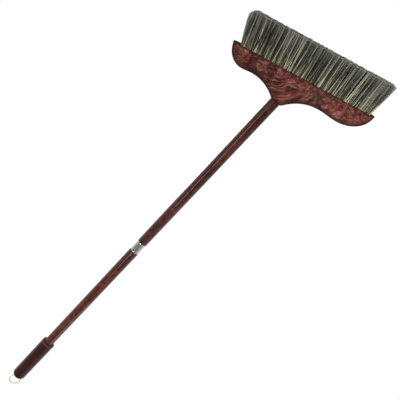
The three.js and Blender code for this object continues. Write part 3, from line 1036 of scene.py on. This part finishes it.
def ferrule_profile(pitch):
    """The ferrule's outside with a bead at each end, its grooved bore, and the sleeve for the spigot."""
    step = LOWER.end + GAP
    start = FERRULE.start
    end = FERRULE.end
    outer = FERRULE.radius
    sleeve = outer - FERRULE_WALL
    outside = [
        (sleeve, start),
        (outer, start),
        (outer, start + BEAD_END),
        (outer - BEAD, start + BEAD_FOOT),
        (outer - BEAD, end - BEAD_FOOT),
        (outer, end - BEAD_END),
        (outer, end),
        (BORE, end),
    ]
    profile = eased(outside, FERRULE_EASE)
    turn = 0
    z = end - BORE_PLAIN
    while z > step + BORE_PLAIN:
        profile.append((BORE + (BORE_GROOVE if turn % 2 else 0), z))
        z -= pitch / 2
        turn += 1
    return profile + [(BORE, step), (sleeve, step), (sleeve, start)]


def thread(start, end, pitch):
    """Rows of a right-hand thread round Z: a triangular groove in the stud, faded at both ends."""
    rows = round((end - start) / pitch * THREAD_STEPS)
    for row in range(rows + 1):
        z = start + (end - start) * row / rows
        fade = min((z - start) / pitch, (end - z) / pitch, 1)
        points = []
        for side in range(STUD_SIDES):
            turn = side / STUD_SIDES
            phase = ((z - start) / pitch - turn) % 1
            r = STUD_RADIUS - THREAD_DEPTH * abs(2 * phase - 1) * fade
            points.append((r * cos(2 * pi * turn), r * sin(2 * pi * turn), z))
        yield points


def stud_shape(pitch):
    """The threaded stud, with a plain shank in the upper pole."""
    shoulder = UPPER_POLE.start - GAP
    rows = [
        circle(STUD_TIP, STUD.start, STUD_SIDES),
        *thread(STUD.start + STUD_TIP_LENGTH, shoulder, pitch),
        circle(SHANK_RADIUS, shoulder, STUD_SIDES),
        circle(SHANK_RADIUS, STUD.end - SHANK_CHAMFER, STUD_SIDES),
        circle(SHANK_RADIUS - SHANK_CHAMFER, STUD.end, STUD_SIDES),
    ]
    stud, loops = skin(rows)
    for loop in (loops[0], loops[-1]):
        stud.faces.new(loop)
    bmesh.ops.recalc_face_normals(stud, faces=stud.faces)
    return stud


class BROOM_OT_joint(Operator):
    """Make the ferrule, its washer and the threaded stud that joins the poles"""

    bl_idname = "broom.joint"
    bl_label = "Screwed Joint"

    def execute(self, context):
        pitch = context.scene.broom_handle.pitch
        ferrule = lathe(ferrule_profile(pitch))
        # The ferrule's strong bands along its length are painted reflections of the studio as well as
        # drawn marks
        nickel = metal("ferrule_steel", FERRULE_NICKEL, 0.06, brushed=0.06, drawn=0.02, shade=0.5)
        place("ferrule", ferrule, nickel, HEAD, "ferrule_steel", "joint_ferrule")
        ring = [
            (BORE, WASHER_SPAN.start),
            (WASHER_SPAN.radius, WASHER_SPAN.start),
            (WASHER_SPAN.radius, WASHER_SPAN.end),
            (BORE, WASHER_SPAN.end),
            (BORE, WASHER_SPAN.start),
        ]
        place("washer_ring", lathe(ring), washer_rubber(), WASHER, "washer_rubber", "joint_washer")
        zinc = metal("stud_steel", STUD_ZINC, 0.3, brushed=0.2)
        place("stud", stud_shape(pitch), zinc, UPPER, "stud_steel", "joint_stud", crease=50)
        return {"FINISHED"}


# Grip and ring
GRIP_WALL = 4.7 * MM
GRIP_CAP = 36 * MM
GRIP_EASE = 0.6 * MM
MOUTH_CHAMFER = 0.8 * MM
LIP_CHAMFER = 1.2 * MM
LIP_LENGTH = 5 * MM
LIP_SLOPE = 1.5 * MM
DOME = 12 * MM
DOME_STEPS = 14
WIRE_RADIUS = 0.9 * MM
WIRE_SIDES = 16
WIRE_PLAY = 0.5 * MM
RING_RADIUS = 14.6 * MM
RING_SIDES = 96
RING_TILT = radians(12)
RING_PLACE = Matrix.Translation((0, 0, RING_PIVOT)) @ Matrix.Rotation(RING_TURN, 4, "Z")
TUNNEL_SHARE = 0.85
TUNNEL_STEPS = 20
TUNNEL_SIDES = 32


def ring_tunnel():
    """The way through the grip's end for the ring, wide at its mouths so that the ring can swing."""
    reach = TUNNEL_SHARE * RING_RADIUS
    hole = WIRE_RADIUS + WIRE_PLAY
    profile = [(0, -reach)]
    for step in range(TUNNEL_STEPS + 1):
        along = reach * (2 * step / TUNNEL_STEPS - 1)
        profile.append((RING_RADIUS - sqrt(RING_RADIUS**2 - along**2) + hole, along))
    profile.append((0, reach))
    tunnel = lathe(profile, TUNNEL_SIDES)
    tunnel.transform(Matrix.Rotation(pi / 2, 4, "Y"))
    for vertex in tunnel.verts:
        vertex.co.z = max(vertex.co.z, -hole)
    tunnel.transform(RING_PLACE)
    return tunnel


class BROOM_OT_grip(Operator):
    """Mould the grip over the end of the upper pole"""

    bl_idname = "broom.grip"
    bl_label = "Grip"

    def execute(self, context):
        bore_end = GRIP.end - GRIP_CAP
        lip = GRIP.radius
        bore = UPPER_POLE.radius + GAP
        side = bore + GRIP_WALL
        mouth = [
            (bore, bore_end),
            (bore, GRIP.start + MOUTH_CHAMFER),
            (bore + MOUTH_CHAMFER, GRIP.start),
            (lip - LIP_CHAMFER, GRIP.start),
            (lip, GRIP.start + LIP_CHAMFER),
            (lip, GRIP.start + LIP_LENGTH),
            (side, GRIP.start + LIP_LENGTH + LIP_SLOPE),
            (side, GRIP.start + 0.5 * (GRIP.end - GRIP.start)),
        ]
        dome = []
        for step in range(DOME_STEPS + 1):
            angle = step / DOME_STEPS * pi / 2
            dome.append((side * cos(angle), GRIP.end - DOME + DOME * sin(angle)))
        sleeve = cut(lathe([(0, bore_end), *eased(mouth, GRIP_EASE), *dome]), ring_tunnel())
        plastic = grip_plastic(context.scene.broom_handle)
        place("grip_sleeve", sleeve, plastic, UPPER, "grip_plastic", "grip")
        return {"FINISHED"}


class BROOM_OT_ring(Operator):
    """Bend the wire ring that the broom hangs by"""

    bl_idname = "broom.ring"
    bl_label = "Hanging Ring"

    def execute(self, context):
        section = [(RING_RADIUS + x, y) for x, y, _ in circle(WIRE_RADIUS, 0, WIRE_SIDES)]
        wire = lathe([*section, section[0]], RING_SIDES)
        wire.transform(Matrix.Rotation(pi / 2, 4, "X"))
        wire.transform(Matrix.Rotation(RING_TILT, 4, "X") @ Matrix.Translation((0, 0, RING_RADIUS)))
        wire.transform(RING_PLACE)
        brass = metal("ring_brass", context.scene.broom_handle.ring, 0.2, brushed=0.12)
        place("ring_wire", wire, brass, RING, "ring_brass", "hanging_ring")
        return {"FINISHED"}


# Stage
KEY = {"at": (0.95, -1.8, 0.4), "aim": (0.1, 0, 0.35), "size": (0.2, 1.85)}
FILL = {"at": (-1.0, -1.2, 0.25), "aim": (-0.1, 0, 0.2), "size": (1.0, 1.0)}
RIM = {"at": (-0.45, -0.65, 2.1), "aim": (0.2, 0, 0.9), "size": (0.4, 0.4)}
BACK = {"at": (0.6, 2.0, 0.5), "aim": (0.1, 0, 0.4), "size": (1.2, 1.2)}
RIM_SHARE = 0.1
BACK_SHARE = 1.6
SKY_WIDTH = radians(40)
SKY_TURN = (radians(25), radians(15), 0)
FLOOR_REACH = 6
FLOOR_OPENING = (159 * MM, 25 * MM)
FLOOR_BOUNCE = 0.68
NEAREST_SEEN = 0.01


def lamp(name, power, at, aim, size):
    light = bpy.data.lights.new(name, "AREA")
    light.energy = power
    light.shape = "RECTANGLE"
    light.size, light.size_y = size
    item = linked(name, light)
    item.location = at
    item.rotation_euler = (Vector(aim) - Vector(at)).to_track_quat("-Z", "Y").to_euler()
    return item


def lights(item, ground, state):
    """Makes a lamp light nothing but the floor, or everything but the floor."""
    receivers = bpy.data.collections.new(item.name + "_receivers")
    receivers.objects.link(ground)
    receivers.collection_objects[0].light_linking.link_state = state
    item.light_linking.receiver_collection = receivers


def all_lamps(stage, ground):
    """Four lamps on the broom alone, and a wide sun on the floor alone."""
    key = lamp("key", stage.key, **KEY)
    fill = lamp("fill", stage.fill, **FILL)
    fill.visible_glossy = False
    rim = lamp("rim", RIM_SHARE * stage.key, **RIM)
    back = lamp("back", BACK_SHARE * stage.fill, **BACK)
    for item in (key, fill, rim, back):
        lights(item, ground, "EXCLUDE")
    sky = bpy.data.lights.new("sky", "SUN")
    sky.energy = stage.sky
    sky.angle = SKY_WIDTH
    overhead = linked("sky", sky)
    overhead.rotation_euler = SKY_TURN
    lights(overhead, ground, "INCLUDE")


def floor_paint(name, colour, open_to_light):
    """Pale floor that shows from above only, and throws less light back than its colour would.

    Under the bristles it lets light by, so that their tips are lit.
    """
    nodes = Shader(name)
    seen = nodes.out("ShaderNodeLightPath", output="Is Camera Ray")
    pale = nodes.blend(seen, rgba(colour, FLOOR_BOUNCE), rgba(colour))
    material = nodes.finish(Base_Color=pale, Roughness=0.9, Specular_IOR_Level=0.1)
    clear = nodes.out("ShaderNodeNewGeometry", output="Backfacing")
    if open_to_light:
        clear = nodes.math("MAXIMUM", clear, nodes.math("SUBTRACT", 1, seen))
    nothing = nodes.out("ShaderNodeBsdfTransparent")
    surface = nodes.out("ShaderNodeMixShader", {0: clear, 1: nodes.main.outputs[0], 2: nothing})
    nodes.put(nodes.tree.nodes["Material Output"].inputs["Surface"], surface)
    return material


def floor_mesh(colour):
    """A square floor in four sides round the panel under the bristles."""
    floor = bmesh.new()

    def corners(x, y):
        return [floor.verts.new((*corner, 0)) for corner in ((-x, -y), (x, -y), (x, y), (-x, y))]

    near = corners(*FLOOR_OPENING)
    edge = corners(FLOOR_REACH, FLOOR_REACH)
    for i in range(4):
        j = (i + 1) % 4
        floor.faces.new((edge[i], edge[j], near[j], near[i]))
    floor.faces.new(near).material_index = 1
    mesh = as_mesh("floor", floor)
    mesh.materials.append(floor_paint("floor", colour, False))
    mesh.materials.append(floor_paint("floor_panel", colour, True))
    return mesh


def white_room(strength):
    """White for the camera, white that dims to the front and one side for mirrors, and soft even light."""
    world = bpy.data.worlds.new("studio")
    world.use_nodes = True
    air = Nodes(world.node_tree)
    soft = air.tree.nodes["Background"]
    soft.inputs["Color"].default_value = WHITE
    soft.inputs["Strength"].default_value = strength
    way = air.axes(air.out("ShaderNodeTexCoord", output="Generated"))
    front = air.levels(way["Y"], -0.9, 0.2, 0.14, 1)
    side = air.levels(way["X"], -0.95, -0.7, 0.2, 1)
    mirrored = air.math("MULTIPLY", front, side)
    ray = air.add("ShaderNodeLightPath").outputs
    seen = air.math("MAXIMUM", ray["Is Camera Ray"], ray["Is Transmission Ray"])
    shown = air.math("MAXIMUM", seen, mirrored)
    white = air.out("ShaderNodeBackground", {"Color": WHITE, "Strength": shown})
    bright = air.math("MAXIMUM", seen, ray["Is Glossy Ray"])
    both = air.out("ShaderNodeMixShader", {0: bright, 1: soft.outputs[0], 2: white})
    air.put(air.tree.nodes["World Output"].inputs["Surface"], both)
    return world


def camera_eye(stage):
    """The camera, tilted up and rolled, so that the broom hangs upside down across the picture."""
    camera = bpy.data.cameras.new("camera")
    camera.lens = stage.lens
    camera.clip_start = NEAREST_SEEN
    eye = linked("camera", camera)
    tilt = Matrix.Rotation(pi / 2 + stage.pitch, 4, "X") @ Matrix.Rotation(stage.roll, 4, "Z")
    eye.matrix_world = Matrix.Translation(stage.eye) @ tilt
    return eye


class BROOM_OT_stage(Operator):
    """Set up the floor, the lamps, the white background and the camera"""

    bl_idname = "broom.stage"
    bl_label = "Stage"

    def execute(self, context):
        scene = context.scene
        stage = scene.broom_stage
        scene.view_settings.view_transform = "Standard"
        ground = linked("floor", floor_mesh(stage.floor))
        ground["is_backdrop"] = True
        all_lamps(stage, ground)
        scene.world = white_room(stage.room)
        scene.camera = camera_eye(stage)
        return {"FINISHED"}


# Sidebar and set-up
STEPS = (
    BROOM_OT_stage,
    BROOM_OT_head_block,
    BROOM_OT_bristles,
    BROOM_OT_neck_screw,
    BROOM_OT_poles,
    BROOM_OT_joint,
    BROOM_OT_grip,
    BROOM_OT_ring,
)
SETTINGS = {
    "broom_head": HeadSettings,
    "broom_bristles": BristleSettings,
    "broom_handle": HandleSettings,
    "broom_stage": StageSettings,
}


class BROOM_PT_sidebar(Panel):
    """The broom's settings and pieces"""

    bl_idname = "BROOM_PT_sidebar"
    bl_label = "Broom"
    bl_space_type = "VIEW_3D"
    bl_region_type = "UI"
    bl_category = "Broom"

    def draw(self, context):
        for name, group in SETTINGS.items():
            box = self.layout.box()
            for setting in group.__annotations__:
                box.prop(getattr(context.scene, name), setting)
        for step in STEPS:
            self.layout.operator(step.bl_idname)


CLASSES = (*SETTINGS.values(), *STEPS, BROOM_PT_sidebar)


def register():
    for kind in CLASSES:
        bpy.utils.register_class(kind)
    for name, group in SETTINGS.items():
        setattr(bpy.types.Scene, name, PointerProperty(type=group))


def unregister():
    for name in SETTINGS:
        delattr(bpy.types.Scene, name)
    for kind in reversed(CLASSES):
        bpy.utils.unregister_class(kind)


def main():
    register()
    for step in STEPS:
        family, name = step.bl_idname.split(".")
        getattr(getattr(bpy.ops, family), name)()
    boxes = {"cad": cad_box, "visual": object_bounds()}
    {name: [list(corner) for corner in box] for name, box in boxes.items()}


if __name__ == "__main__":
    main()
